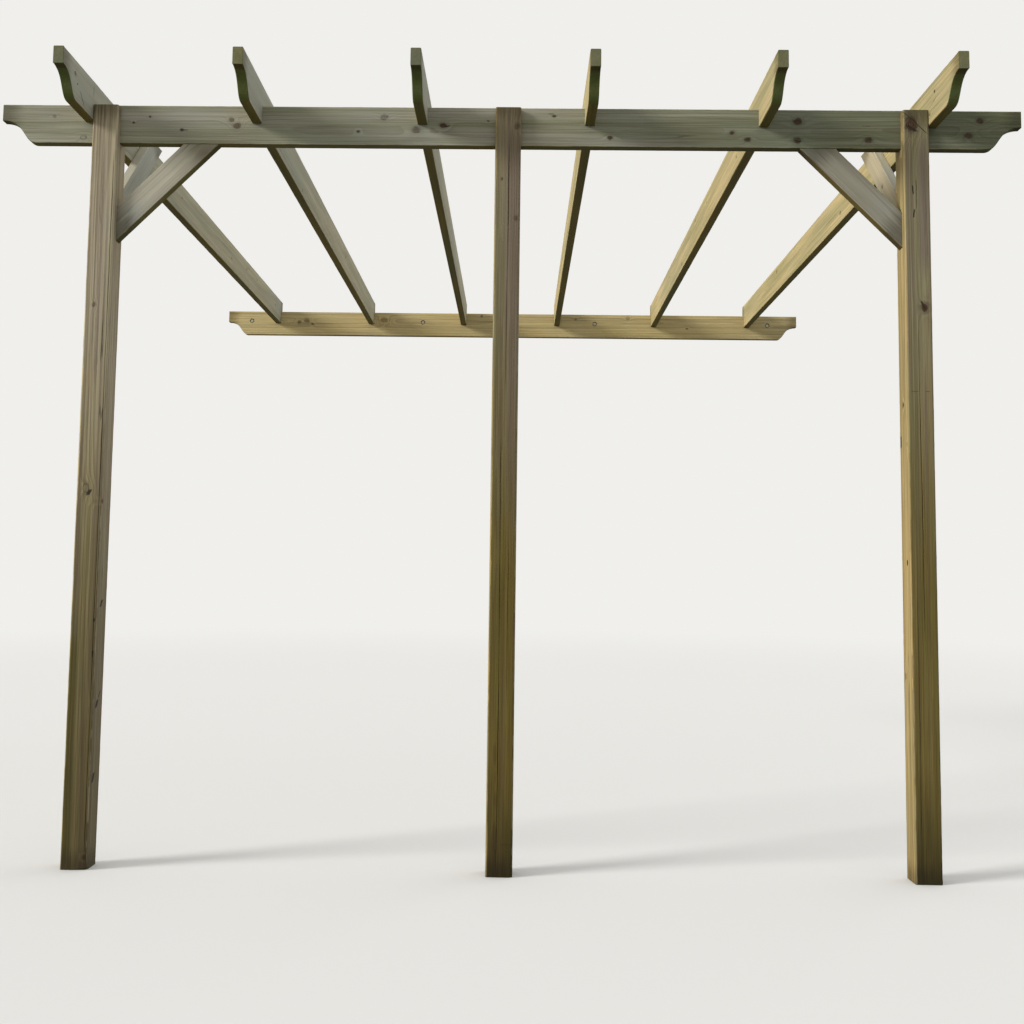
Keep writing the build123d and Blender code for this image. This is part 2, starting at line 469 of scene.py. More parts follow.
@shader_group("Fibre", "Streak", "Band", "Cloud", "Split")
def fibre_group(g, board, seed):
    """Fine streaks, broad bands, clouds and short drying cracks, all along the grain."""
    fine = g.noise(board, 5.0, 330.0, seed, 3.0, 0.6)
    coarse = g.noise(board, 1.6, 135.0, seed, 2.0, 0.6)
    band = g.noise(board, 0.5, 40.0, seed, 2.0, 0.55)
    cloud = g.noise(board, 1.3, 26.0, seed, 3.0, 0.55)
    line = g.smooth(abs(g.noise(board, 1.3, 62.0, seed, 1.0) - 0.5), 0.011, 0.003)
    where = g.smooth(g.noise(board, 2.3, 21.0, seed, 1.0), 0.64, 0.72)
    return (
        g.smooth((fine + coarse) * 0.5, 0.42, 0.62), g.smooth(band, 0.38, 0.64),
        g.smooth(cloud, 0.35, 0.65), line * where,
    )


@shader_group("Weather", "Under", "Damp", "Patch", "Sunny", "Shady")
def weather_group(g, place, facing, ground, wet):
    """Masks by place and facing: faces that point down, darkening towards the ground, weathered patches,
    and the sides painted as sunlit and as shaded.
    """
    x, y, z = g.split(place)
    right, back, up = g.split(facing)
    wander = g.noise(place, 45.0, 3.0) - 0.5
    damp = (1.0 - (z - ground + wander * 0.25) / wet).clamped()
    patch = g.noise(place, 1.7, 1.7, 4.1, 3.0, 0.6)
    # Faces that point down get algae and painted shade, the darkening towards the ground is damp
    # staining and painted shade, and the sides facing -X and +X are painted as sunlit and as shaded
    return (
        g.smooth(up, -0.25, -0.7), g.smooth(damp, 0.0, 1.0), g.smooth(patch, 0.4, 0.66),
        g.smooth(right, -0.3, -0.85), g.smooth(right, 0.3, 0.85),
    )


@shader_group("Soak", "Film", "Ends")
def soak_group(g, board, half_length, wet_end, full):
    """Water that creeps in from the ends of a board, and algae that grows from its wet end."""
    x, y, z = g.split(board)
    from_wet = half_length - x * wet_end
    fingers = g.noise(board, 6.0, 120.0) - 0.5
    from_end = half_length - abs(x) + fingers * 0.09
    spread = ((FILM_REACH - from_wet) / (FILM_REACH - full)).clamped()
    streaks = g.noise(board, 0.9, 55.0, 2.0) - 0.5
    spread = (g.smooth(spread, 0.0, 1.0) + streaks * 0.9).clamped()
    return spread * g.smooth(from_wet, 2.4, 1.9), g.smooth(from_end, 0.085, 0.01)


@shader_group("Arris", "Rub")
def arris_group(g, board, half_side, half_depth):
    """How near a point lies to the long edges of its board, broken up by noise: where rubbed wear and a
    painted highlight go.
    """
    x, y, z = g.split(board)
    gap = g.distance(half_side - abs(y), half_depth - abs(z))
    broken = g.noise(board, 14.0, 60.0, 0.0, 3.0, 0.6)
    return (g.smooth(gap, 0.006, 0.002) * g.smooth(broken, 0.42, 0.6),)


@shader_group("Sawn end", "End", "Butt")
def end_group(g, facing, grain):
    """Cuts across the grain, which soak up water: all of them, and only the square ends."""
    along = abs(g.node("ShaderNodeVectorMath", {0: facing, 1: grain}, "Value", operation="DOT_PRODUCT"))
    return g.smooth(along, 0.2, 0.4), g.smooth(along, 0.97, 0.995)


def board_axes(timber):
    """Grain, thickness and depth of a board as three unit vectors."""
    grain = Vector(timber.grain).normalized()
    side = Vector(timber.side).normalized()
    return grain, side, grain.cross(side)


def board_box(timber):
    """Middle of a board and its half sizes along its own axes, from its CAD box."""
    low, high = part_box(timber.node)
    middle = (low + high) / 2
    size = high - low
    axes = board_axes(timber)
    if timber.look != "brace":
        return middle, Vector([abs(size.dot(axis)) / 2 for axis in axes])
    # A brace lies at 45 degrees, and its long lower edge is the diagonal of its box
    half_depth = BRACE_DEPTH / 2
    half_length = size.z / math.sqrt(2) - half_depth
    upward = math.copysign(half_depth, axes[2].z)
    return middle + axes[2] * upward, Vector((half_length, BOARD_THICKNESS / 2, half_depth))


def ogee_rise(distance):
    """Height of the sawn S-curve above the board's underside, this far from the board's end."""
    if distance >= OGEE_RUN:
        return 0.0
    low, high = 0.0, 1.0
    for _ in range(24):
        t = (low + high) / 2
        reach = 3 * (1 - t) ** 2 * t * OGEE_COVE + 3 * (1 - t) * t ** 2 * OGEE_BELLY + t ** 3
        if reach * OGEE_RUN < distance:
            low = t
        else:
            high = t
    rise = (1 - t) ** 3 + 3 * (1 - t) ** 2 * t + 3 * (1 - t) * t ** 2 * (1 - OGEE_LAST_RISE)
    return rise * OGEE_RISE


def beam_rise(x, half):
    """Where the underside of the beam lies above its lowest line."""
    return ogee_rise(half.x - abs(x))


def rafter_rise(x, half):
    """Where the underside of a rafter lies above its lowest line: curve, beam notch, plate notch."""
    y = x - half.x
    if BEAM_LOW.y - JOINT_PLAY <= y <= BEAM_HIGH.y + JOINT_PLAY:
        return BEAM_HIGH.z
    if y >= PLATE_LOW.y - JOINT_PLAY:
        return PLATE_HIGH.z
    return ogee_rise(half.x + x)


def even_stations(start, finish):
    """Even cuts across a board between two places along it."""
    count = round((finish - start) / CUT_SPACING)
    return [start + (finish - start) * i / count for i in range(1, count)]


def beam_stations(half):
    left = [-half.x + cut for cut in OGEE_CUTS]
    right = [half.x - cut for cut in reversed(OGEE_CUTS)]
    return left + even_stations(left[-1], right[0]) + right


def rafter_stations(half):
    """Cuts across a rafter, with a pair at each upright wall of its notches."""
    stations = [-half.x + cut for cut in OGEE_CUTS]
    walls = (BEAM_LOW.y - JOINT_PLAY, BEAM_HIGH.y + JOINT_PLAY, PLATE_LOW.y - JOINT_PLAY)
    for wall in (y + half.x for y in walls):
        stations += even_stations(stations[-1], wall - WALL_STEP) + [wall - WALL_STEP, wall + WALL_STEP]
    return stations + even_stations(stations[-1], half.x - END_ARRIS)


# The cuts across a board with curved ends, and what raises its underside
Curve = namedtuple("Curve", "stations rise")
CURVED = {"beam": Curve(beam_stations, beam_rise), "rafter": Curve(rafter_stations, rafter_rise)}


def only(items, kind):
    """Those of a bmesh operator's results that are of one kind."""
    return [item for item in items if isinstance(item, kind)]


def long_edges(board, shortest, longest):
    """The edges of a board that run along it and whose length lies between two limits."""
    found = []
    for edge in board.edges:
        reach = edge.verts[1].co - edge.verts[0].co
        if shortest < abs(reach.x) < longest and abs(reach.x) > 0.999 * reach.length:
            found.append(edge)
    return found


def end_edges(board, x):
    """The edges round the end face at x."""
    return [e for e in board.edges if all(abs(v.co.x - x) < TINY for v in e.verts)]


def ease(board, edges, radius, segments):
    bmesh.ops.bevel(
        board, geom=edges, offset=radius, offset_type="OFFSET", segments=segments, profile=0.5,
        affect="EDGES", material=-1,
    )


def cut_through(board, point, normal, **options):
    """Adds a line round the board where a plane cuts it, and gives what lies on that line."""
    everything = board.verts[:] + board.edges[:] + board.faces[:]
    return bmesh.ops.bisect_plane(
        board, geom=everything, plane_co=point, plane_no=normal, **options,
    )["geom_cut"]


def square_board(half):
    """A sawn board along X with sharp edges."""
    board = bmesh.new()
    bmesh.ops.create_cube(board, size=2)
    bmesh.ops.scale(board, vec=half, verts=board.verts)
    return board


def cut_board(half):
    """A planed board along X, its long edges eased and its ends lightly rubbed."""
    board = square_board(half)
    ease(board, long_edges(board, half.x, 3 * half.x), BOARD_ARRIS, 3)
    ease(board, end_edges(board, -half.x) + end_edges(board, half.x), END_ARRIS, 2)
    return board


def cut_post(half):
    """A square post along X whose slotted top leaves two cheeks for the beam."""
    board = square_board(half)
    shoulder = half.x - SLOT_DEPTH
    slot_half = BOARD_THICKNESS / 2 + JOINT_PLAY
    for vert in board.verts:
        if vert.co.x > 0:
            vert.co.x = shoulder
    ease(board, long_edges(board, half.x, 3 * half.x), POST_ARRIS, 4)
    ease(board, end_edges(board, -half.x), END_ARRIS, 2)
    for y in (-slot_half, slot_half):
        cut_through(board, (0, y, 0), ALONG_Y, dist=SCORE_PLAY)
    cheeks = []
    for face in board.faces:
        middle = face.calc_center_median()
        if abs(middle.x - shoulder) < TINY and abs(middle.y) > slot_half:
            cheeks.append(face)
    raised = bmesh.ops.extrude_discrete_faces(board, faces=cheeks)["faces"]
    bmesh.ops.translate(board, vec=(SLOT_DEPTH, 0, 0), verts=list({v for f in raised for v in f.verts}))
    ease(board, end_edges(board, half.x), END_ARRIS, 2)
    bmesh.ops.subdivide_edges(board, edges=long_edges(board, SLOT_DEPTH / 2, SLOT_DEPTH), cuts=9)
    return board


def divide(board, stations, shortest):
    """Cuts the longest faces across at the given places."""
    edges = long_edges(board, shortest, 10 * shortest)
    start = min(v.co.x for e in edges for v in e.verts)
    finish = max(v.co.x for e in edges for v in e.verts)
    made = bmesh.ops.subdivide_edges(board, edges=edges, cuts=len(stations))["geom_inner"]
    for vert in only(made, BMVert):
        index = round((vert.co.x - start) / (finish - start) * (len(stations) + 1)) - 1
        vert.co.x = stations[index]


def bounded(value):
    """The value, kept between 0 and 1."""
    return max(0.0, min(1.0, value))


def open_check(board, check, half, mark, seed):
    """Opens a drying crack: three lines along the face, of which the middle one sinks in."""
    face_axis, line_axis = (2, 1) if check.turned else (1, 2)
    surface = check.face * half[face_axis]
    for vert in board.verts:
        offset = (vert.co[line_axis] - check.across) / (check.width / 2)
        if abs(vert.co[face_axis] - surface) > TINY or min(abs(offset - k) for k in (-1, 0, 1)) > 1e-3:
            continue
        x = vert.co.x
        ends = min(x - check.start, check.finish - x) / CHECK_TAPER
        open_share = bounded(ends) * (0.75 + 0.5 * noise.noise((x * 4.0, seed, 0.0)))
        drift = 0.0025 * noise.noise((x * 1.6, seed, 5.0)) + 0.0008 * noise.noise((x * 9.0, seed, 9.0))
        drift += check.slope * (x - (check.start + check.finish) / 2)
        width = max(0.0004, check.width * open_share)
        vert.co[line_axis] = check.across + drift + offset * width / 2
        if abs(offset) < 0.5:
            vert.co[face_axis] = surface - check.face * check.deep * open_share
            vert[mark] = open_share


def wear_arris(board, half, arris, seed):
    """Rubs the rounded long edges down unevenly, never past the flat of a chamfer."""
    deepest = 0.28 * arris
    for vert in board.verts:
        x, y, z = vert.co
        on_side = half.y - arris * 0.95 < abs(y) < half.y - TINY
        on_edge = half.z - arris * 0.95 < abs(z) < half.z - TINY
        if not (on_side and on_edge) or abs(x) > half.x - 2 * END_ARRIS:
            continue
        corner = 3.0 * ((y > 0) + 2 * (z > 0))
        rub = 0.55 * noise.noise((x * 7.0, seed, corner)) + 0.45 * noise.noise((x * 31.0, seed, corner))
        inward = deepest * bounded(0.3 + 1.6 * rub) / math.sqrt(2)
        vert.co.y -= math.copysign(inward, y)
        vert.co.z -= math.copysign(inward, z)


def split_off(board, chip):
    """Breaks a corner off along a flat plane and closes the break."""
    rim = only(cut_through(board, chip.point, chip.outward, dist=TINY, clear_outer=True), BMEdge)
    for face in bmesh.ops.holes_fill(board, edges=rim)["faces"]:
        face.smooth = False


def lift_underside(board, half, rise):
    """Raises the underside to the sawn curve and the notches, and keeps its rounded edges."""
    flat = half.z - BOARD_ARRIS
    for vert in board.verts:
        lift = rise(vert.co.x, half)
        if lift != 0.0 and vert.co.z <= flat:
            vert.co.z += lift * bounded((flat - vert.co.z) / (2 * flat))


def slant_ends(board, half, upward):
    """Slants a brace's lower end to stand upright and its upper end to lie level."""
    for vert in board.verts:
        vert.co.x += upward * vert.co.z * -vert.co.x / half.x


def shade_rounded(board, half, arris, checks):
    """Shades only the rounded edges and the cracks smoothly, so that the flats stay flat."""
    for face in board.faces:
        middle = face.calc_center_median()
        rounded = abs(middle.y) > half.y - arris and abs(middle.z) > half.z - arris
        opened = any(
            abs((middle.y if c.turned else middle.z) - c.across) < c.width / 2 for c in checks
        )
        face.smooth = (rounded or opened) and abs(face.normal.x) < 0.5


def add_object(name, data, turn=None):
    """Puts an object into the scene, turned by a quaternion if there is one."""
    made = bpy.data.objects.new(name, data)
    if turn:
        made.rotation_mode = "QUATERNION"
        made.rotation_quaternion = turn
    bpy.context.scene.collection.objects.link(made)
    return made


def place_mesh(shape, name, material):
    """Turns a bmesh into an object of the scene at the origin."""
    mesh = bpy.data.meshes.new(name)
    shape.to_mesh(mesh)
    shape.free()
    mesh.materials.append(material)
    return add_object(name, mesh)


def build_timber(timber):
    """Models one piece of timber over its CAD solid and gives it its wood."""
    middle, half = board_box(timber)
    axes = board_axes(timber)
    is_post = timber.node.startswith("post")
    arris = POST_ARRIS if is_post else BOARD_ARRIS
    board = (cut_post if is_post else cut_board)(half)
    if timber.look in CURVED:
        stations = CURVED[timber.look].stations(half)
    else:
        stations = even_stations(-half.x + END_ARRIS, half.x - (SLOT_DEPTH if is_post else END_ARRIS))
    for check in timber.checks:
        for line in (check.across - check.width / 2, check.across, check.across + check.width / 2):
            normal = ALONG_Y if check.turned else ALONG_Z
            cut_through(board, [line * part for part in normal], normal, dist=SCORE_PLAY)
    divide(board, stations, 0.4 * half.x)
    shade_rounded(board, half, arris, timber.checks)
    mark = board.verts.layers.float.new("check")
    for number, check in enumerate(timber.checks):
        open_check(board, check, half, mark, timber.seed + number)
    wear_arris(board, half, arris, timber.seed)
    for chip in timber.chips:
        split_off(board, chip)
    if timber.look in CURVED:
        lift_underside(board, half, CURVED[timber.look].rise)
    elif timber.look == "brace":
        slant_ends(board, half, math.copysign(1, axes[2].z))
    turn = Matrix(axes).transposed().to_4x4()
    bmesh.ops.transform(board, matrix=Matrix.Translation(middle) @ turn, verts=board.verts)
    piece = place_mesh(board, timber.node + "_timber", timber_material(timber))
    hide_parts(timber.node)
    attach(piece, "root")
    ("post" if is_post else timber.look) + "_timber"


def marked(g, scars, board, turned):
    """Where a list of scars, stripes or films lies."""
    mark = 0.0
    for scar in scars:
        mark = g.group(
            "Scar", board=turned if scar.turned else board, along=scar.along, across=scar.across,
            reach=scar.reach, breadth=scar.breadth, slope=scar.slope, face=scar.face, mark=mark,
        )["Mark"]
    return mark


def timber_material(timber):
    """The wood of one piece of timber, with its own rings, knots and weathering."""
    look = bpy.context.scene.pergola_timber
    finish = FINISHES[timber.look]
    is_post = timber.node.startswith("post")
    axes = board_axes(timber)
    middle, half = board_box(timber)
    turn = Matrix(axes)
    material, g = with_graph(bpy.data.materials.new(timber.node + "_wood"))

    place = g.node("ShaderNodeTexCoord", output="Object")
    facing = g.node("ShaderNodeNewGeometry", output="Normal")
    opened = g.node("ShaderNodeAttribute", output="Fac", attribute_name="check")
    board = g.node("ShaderNodeMapping", {
        "Vector": place, "Location": -(turn @ middle), "Rotation": turn.to_euler(),
    })
    # Each board comes from another length of the trunk
    pith = g.node("ShaderNodeMapping", {
        "Vector": board, "Location": (timber.seed * 3.7, -timber.pith[0], -timber.pith[1]),
        "Rotation": (0.0, timber.lean[1], timber.lean[0]),
    })
    x, y, z = g.split(board)
    turned = g.join(x, z, y)
    lift, heart, rim = 0.0, 0.0, 0.0
    for knot in timber.knots:
        lift, heart, rim = g.group(
            "Knot", board=turned if knot.turned else board, along=knot.along, across=knot.across,
            radius=knot.radius, face=knot.face, strength=knot.heart, lift=lift, heart=heart, rim=rim,
        ).values()
    rings = g.group("Growth rings", pith=pith, lift=lift, ring_width=timber.ring)
    fibre = g.group("Fibre", board=board, seed=timber.seed)
    weather = g.group("Weather", place=place, facing=facing, ground=GROUND, wet=timber.wet)
    soak = g.group(
        "Soak", board=board, half_length=half.x, wet_end=math.copysign(1.0, timber.green),
        full=0.8 if is_post else 0.0,
    )
    # The rub mask lays a paler band along the long edges: rubbed wear and painted highlight
    rub = g.group("Arris", board=board, half_side=half.y, half_depth=half.z)["Rub"]
    end = g.group("Sawn end", facing=facing, grain=axes[0])
    scarred, striped, filmed = (
        marked(g, scars, board, turned) for scars in (timber.scars, timber.stripes, timber.films)
    )

    # The side facing -X is painted as sunlit: paler and golden, with most of the figure, the film and
    # the damp faint there.
    shaded = 1.0 - weather["Sunny"] * 0.85
    # Weathered grey patches, and painted shade on the side facing +X
    greyed = g.larger(weather["Patch"], weather["Shady"] * (0.6 + soak["Film"] * 0.5))
    banded = g.larger(fibre["Band"] * finish.bands, striped * 0.6)
    film = soak["Film"] * shaded * abs(timber.green) * (1.0 - weather["Shady"] * 0.5)
    knotted = g.mix(fibre["Streak"] * 0.8, look.knot_heart, look.knot_rim)
    sawn = g.mix(end["Butt"], look.sawn, look.butt)
    colour = tuple(c * timber.tone for c in getattr(look, timber.look))
    for share, tint, *blend in (
        # Painted sunlight on the side facing -X
        (weather["Sunny"] * finish.sun, look.bleached),
        (rings["Year"] * finish.years * shaded, look.heartwood),
        (rings["Late"] * finish.rings, look.late_wood),
        (fibre["Cloud"] * finish.treatment, look.treatment),
        # Weathered grey, and painted shade on the side facing +X
        (greyed * finish.silver * shaded, look.silver),
        (banded * shaded, look.heartwood),
        (fibre["Streak"] * finish.streaks, look.late_wood),
        (filmed * 0.32, look.treatment),
        (g.larger(film, filmed * 0.85), look.algae if is_post else look.moss, "MULTIPLY"),
        (soak["Ends"] * 0.85, look.damp, "MULTIPLY"),
        # Darker towards the ground: damp staining and painted shade
        (weather["Damp"] * shaded, look.damp, "MULTIPLY"),
        (heart * 0.8, knotted),
        (rim * 0.75, look.knot_rim),
        (fibre["Split"] * 0.6, look.crack),
        (scarred * 0.95, look.crack),
        # Paler edges: rubbed wear and painted highlight
        (rub * 0.4 * shaded, look.arris),
        # Faces that point down: algae and painted shade
        (weather["Under"], look.underside, "MULTIPLY"),
        (end["End"] * (0.7 - end["Butt"] * 0.27), sawn),
        # Painted shade at the bottoms of the open cracks, deepening the grooves' own shade
        (g.smooth(opened, 0.05, 0.6), look.crack),
    ):
        colour = g.mix(share, colour, tint, *blend)

    grain_height = rings["Late"] * 0.35 + fibre["Streak"] * 0.45
    height = grain_height - fibre["Split"] * 2.0 - rim * 0.6 - scarred * 1.5
    bump = g.node("ShaderNodeBump", {"Height": height, "Strength": 0.55, "Distance": 0.0012})
    shader = g.node("ShaderNodeBsdfPrincipled", {
        "Base Color": colour, "Roughness": 0.86 - rings["Late"] * 0.14, "Normal": bump,
        "Specular IOR Level": 0.3,
    })
    g.add("ShaderNodeOutputMaterial", {"Surface": shader})
    return material


def chance_checks(seed, length, depth, count):
    """Shallow drying cracks spread over both faces of a board."""
    draw = random.Random(seed)
    checks = []
    for number in range(count):
        start = (number + draw.uniform(0.1, 0.5)) / count * length - length / 2
        reach = draw.uniform(0.25, 0.6) * length / count
        across = (number + draw.uniform(0.15, 0.85)) / count * 0.8 * depth - 0.4 * depth
        face = 1 if number % 2 else -1
        checks.append(Check(across, start, start + reach, width=0.0018, deep=0.005, face=face))
    return checks


def chance_knots(seed, length, depth, count, largest, smallest=0.004):
    """Small knots spread along a board."""
    draw = random.Random(seed)
    knots = []
    for number in range(count):
        along = (number + 0.5 + draw.uniform(-0.35, 0.35)) / count * length - length / 2
        across = draw.uniform(-0.4, 0.4) * depth
        radius = draw.uniform(smallest, largest)
        knots.append(Knot(along, across, radius, face=draw.choice((-1, 0, 1))))
    return knots


def marks_in_millimetres(kind, lengths):
    """What makes marks of one kind from rows whose first few numbers are lengths in millimetres."""

    def make(*rows):
        return [kind(*(n / 1000 for n in row[:lengths]), *row[lengths:]) for row in rows]

    return make


knots_at = marks_in_millimetres(Knot, 3)
scars_at = marks_in_millimetres(Scar, 4)
checks_at = marks_in_millimetres(Check, 5)


# All three posts darken towards the ground, partly algae and damp and partly painted shade. The centre
# and right posts' darker look and lower tone are painted shade.
POSTS = [
    Timber(
        "post_left", "post", ALONG_Z, ALONG_Y, (0.012, -0.03), (0.004, 0.003), 0.0075, 1.3, -0.62,
        knots=knots_at(
            (-40, 12, 11, 0.3, -1), (-85, -37, 5, 1.4, -1, True), (600, 12, 6, 1.0, -1),
            (-774, -13, 6, 0.4, -1, True), (-1277, -36, 5.5, 2.4, -1),
        ),
        checks=checks_at((-35.5, -1290, 1170, 3.6, 11, -1)),
        scars=scars_at(
            (-55, 0, 12, 6, -0.5), (-604, -36, 13, 2.8), (-490, -36, 7, 3.6),
            (-434, -9, 15, 9, 0.6, -1, True), (-774, -13, 16, 10, 0.64, -1, True),
            (-744, 8, 14, 4, 0.9, -1, True), (-1020, -19, 19, 10, 0.48, -1, True),
        ),
        stripes=scars_at((750, -4, 550, 5), (300, -23, 900, 4.5), (-500, 34, 800, 4)),
        films=scars_at((-920, 31, 520, 20)),
        wet=1.9,
        chips=[
            Chip((-1.308, -0.045, -0.045), (-1.0, -0.5, -0.8)),
            Chip((-1.314, -0.045, -0.024), (-1.0, -0.8, -0.15)),
        ],
    ),
    Timber(
        "post_centre", "damp_post", ALONG_Z, ALONG_Y, (0.03, 0.02), (-0.003, 0.004), 0.0065, 2.6, -0.92,
        knots=knots_at((1250, -31, 8, 1.0, -1), (1060, 20, 4, 1.0, -1), (920, -30, 6, 1.0, -1)),
        checks=checks_at(
            (10, -1280, 160, 3.4, 8, -1), (-20, -750, -180, 2.6, 6, -1),
            (-2, 300, 1220, 3.6, 9, -1),
        ),
        scars=scars_at((-1213, -26, 0.6, 20)),
        stripes=scars_at((550, -24, 850, 19), (900, -2, 500, 6), (-700, -4, 500, 6)),
        wet=0.42, tone=0.66,
        chips=[Chip((-1.3155, -0.045, -0.040), (-1.0, -0.7, -0.5))],
    ),
    Timber(
        "post_right", "damp_post", ALONG_Z, ALONG_Y, (-0.01, -0.02), (0.002, -0.004), 0.008, 3.9, -0.86,
        knots=knots_at(
            (1266, 17, 21, 1.7, -1), (617, -18, 11, 2.0, -1), (285, 1, 5.8, 1.8, 1, True),
            (145, -26, 4, 0.1, 1, True), (-643, 20, 6, 0.6, 1, True),
        ),
        checks=checks_at((1, -550, 585, 4, 9, -1, False, 0.003), (22, -1220, -350, 3, 6, -1)),
        scars=scars_at(
            (1274, 4, 48, 2.2, 1.05), (1252, 14, 13, 9, 1.3), (1033, 15, 19, 2.6, 0.1),
            (949, 12, 18, 2.6, -0.1), (1020, 3, 60, 1.2), (625, -14, 18, 4, 0.5),
            (326, 20, 0.8, 13), (326, -24, 0.9, 7), (159, 31, 24, 7, 0.0, 1, True),
            (-259, -14, 12, 6, 0.0, 1, True),
        ),
        stripes=scars_at((980, -22, 280, 19), (-100, -16, 600, 5)),
        wet=0.42, tone=0.76,
    ),
]
# The beam's film darkens and greens it towards its right end: algae and painted shade
BEAM = Timber(
    "front_beam", "beam", ALONG_X, ALONG_Y, (0.06, -0.01), (0.006, 0.004), 0.0045, 5.2, 0.9,
    knots=knots_at(
        (-1615, 27, 4, 0.5), (-1508, -49, 8, 0.2), (-1331, 7, 3.5, 1.8), (-1273, 29, 3.5, 1.8),
        (-1158, -18, 4.5, 2.0), (-984, 19, 7), (-962, -3, 10, 1.2), (-532, -20, 5, 1.8),
        (-440, 32, 9, 0.7), (-327, -12, 11), (-230, 4, 9, 1.8), (-71, 21, 3), (161, 41, 5, 1.4),
        (358, -36, 7, 1.8), (787, -15, 6, 1.8), (841, -39, 8, 1.5), (1019, 27, 12, 1.8),
        (1014, -41, 10, 1.5), (1264, -38, 10, 1.5), (1614, -20, 10, 1.5), (1656, 34, 10, 1.5),
    ),
    scars=scars_at(
        (-1145, -19, 10, 1.2), (-215, 1, 12, 1.8, 0.3), (846, -35, 9, 1.2, 0.5),
        (1020, -46, 12, 1.6, 0.2), (1257, 12, 18, 0.8), (150, 49, 10, 1, 0.1),
    ),
)
PLATE = Timber(
    "wall_plate", "plate", ALONG_X, ALONG_Y, (0.05, 0.02), (-0.004, 0.003), 0.005, 6.5, 0.1,
    knots=knots_at(
        (-1350, 8, 9), (-1305, 17, 11), (-1268, -4, 7), (-810, 25, 15, 0.7), (-190, 56, 6),
        (407, 44, 6), (736, 50, 8, 0.4), (1110, -10, 5),
    ),
)
# Marks at the front of the outer rafters
RAFTER_KNOTS = {6: knots_at((-1581, 28, 4.5, 2.6, 1))}
RAFTER_SCARS = {
    1: scars_at((-1626, -38, 22, 3, -0.9), (-1523, 32, 1.6, 22), (-1672, -6, 5, 3, 0.8)),
}
RAFTERS = [
    Timber(
        f"rafter_{n}", "rafter", ALONG_Y, OUTWARD_LEFT, (0.05 * (-1) ** n, 0.015 * n - 0.05),
        (0.003 * (-1) ** n, 0.004), 0.0048 + 0.0003 * n, 7.0 + 1.3 * n, -0.15,
        knots=chance_knots(20 + n, RAFTER_LENGTH, BOARD_DEPTH, 9, 0.008) + RAFTER_KNOTS.get(n, []),
        checks=chance_checks(40 + n, 3.0, BOARD_DEPTH, 4), scars=RAFTER_SCARS.get(n, ()),
        tone=0.93 if n > 4 else 1.0,
    )
    for n in range(1, 7)
]


def brace(name, grain, side, pith, lean, seed, knots, tone=1.0):
    return Timber(name, "brace", grain, side, (pith, 0.0), lean, 0.0045, seed, 0.0, knots, tone=tone)


# The right-hand braces have a lower tone: painted shade, as the light falls from the left
FRONT_BRACES = [
    brace("front_brace_left", (1, 0, 1), ALONG_Y, 0.04, (0.01, 0.008), 17.1,
          chance_knots(31, 0.5, BRACE_DEPTH, 2, 0.006)),
    brace("front_brace_right", (-1, 0, 1), ALONG_Y, 0.04, (0.008, -0.01), 18.4,
          chance_knots(32, 0.5, BRACE_DEPTH, 2, 0.006), tone=0.67),
]
BACK_BRACES = [
    brace("back_brace_left", (0, 1, 1), OUTWARD_LEFT, 0.04, (0.01, 0.008), 19.7,
          chance_knots(33, 0.8, BRACE_DEPTH, 3, 0.007)),
    brace("back_brace_right", (0, 1, 1), OUTWARD_LEFT, -0.04, (-0.01, 0.008), 21.0,
          chance_knots(34, 0.8, BRACE_DEPTH, 3, 0.007), tone=0.82),
]


def steel_material(fixings):
    """Zinc-plated steel that has gone dull and patchy out of doors."""
    material, g = with_graph(bpy.data.materials.new("dull_zinc"))
    place = g.node("ShaderNodeTexCoord", output="Object")
    bloom = g.smooth(g.noise(place, 260.0, 260.0, 0.0, 3.0, 0.6), 0.42, 0.68)
    shader = g.node("ShaderNodeBsdfPrincipled", {
        "Base Color": g.mix(bloom, fixings.steel, fixings.white_rust),
        "Metallic": 0.9 - bloom * 0.6, "Roughness": 0.5 + bloom * 0.3,
    })
    g.add("ShaderNodeOutputMaterial", {"Surface": shader})
    return material


def lathe(steps, profile):
    """A round piece: a line of (radius, height) points turned about the Z axis."""
    round_piece = bmesh.new()
    line = [round_piece.verts.new((radius, 0, height)) for radius, height in profile]
    edges = [round_piece.edges.new(pair) for pair in zip(line, line[1:])]
    bmesh.ops.spin(
        round_piece, geom=line + edges, axis=(0, 0, 1), cent=(0, 0, 0), angle=2 * math.pi,
        steps=steps, use_merge=True,
    )
    bmesh.ops.remove_doubles(round_piece, verts=round_piece.verts, dist=TINY)
    bmesh.ops.recalc_face_normals(round_piece, faces=round_piece.faces)
    return round_piece


def hexagon_head(across_flats, height):
    """A bolt head along Z whose corners are turned off at 30 degrees, as on a real one."""
    head = bmesh.new()
    bmesh.ops.create_circle(head, cap_ends=True, segments=48, radius=1)
    flat = across_flats / 2
    crown = 0.95 * flat
    cap = head.faces[:]
    for level in (1, 2):
        raised = bmesh.ops.extrude_face_region(head, geom=cap)["geom"]
        for vert in only(raised, BMVert):
            vert.co.z = level
        if level == 2:
            bmesh.ops.delete(head, geom=cap, context="FACES_ONLY")
        cap = only(raised, BMFace)
    for vert in head.verts:
        turn = math.atan2(vert.co.y, vert.co.x) % (math.pi / 3) - math.pi / 6
        wide, level = flat / math.cos(turn), round(vert.co.z)
        vert.co = vert.co.xy.to_3d().normalized() * (crown if level == 2 else wide)
        vert.co.z = (0.0, height - (wide - crown) * math.tan(math.pi / 6), height)[level]
    bmesh.ops.recalc_face_normals(head, faces=head.faces)
    return head


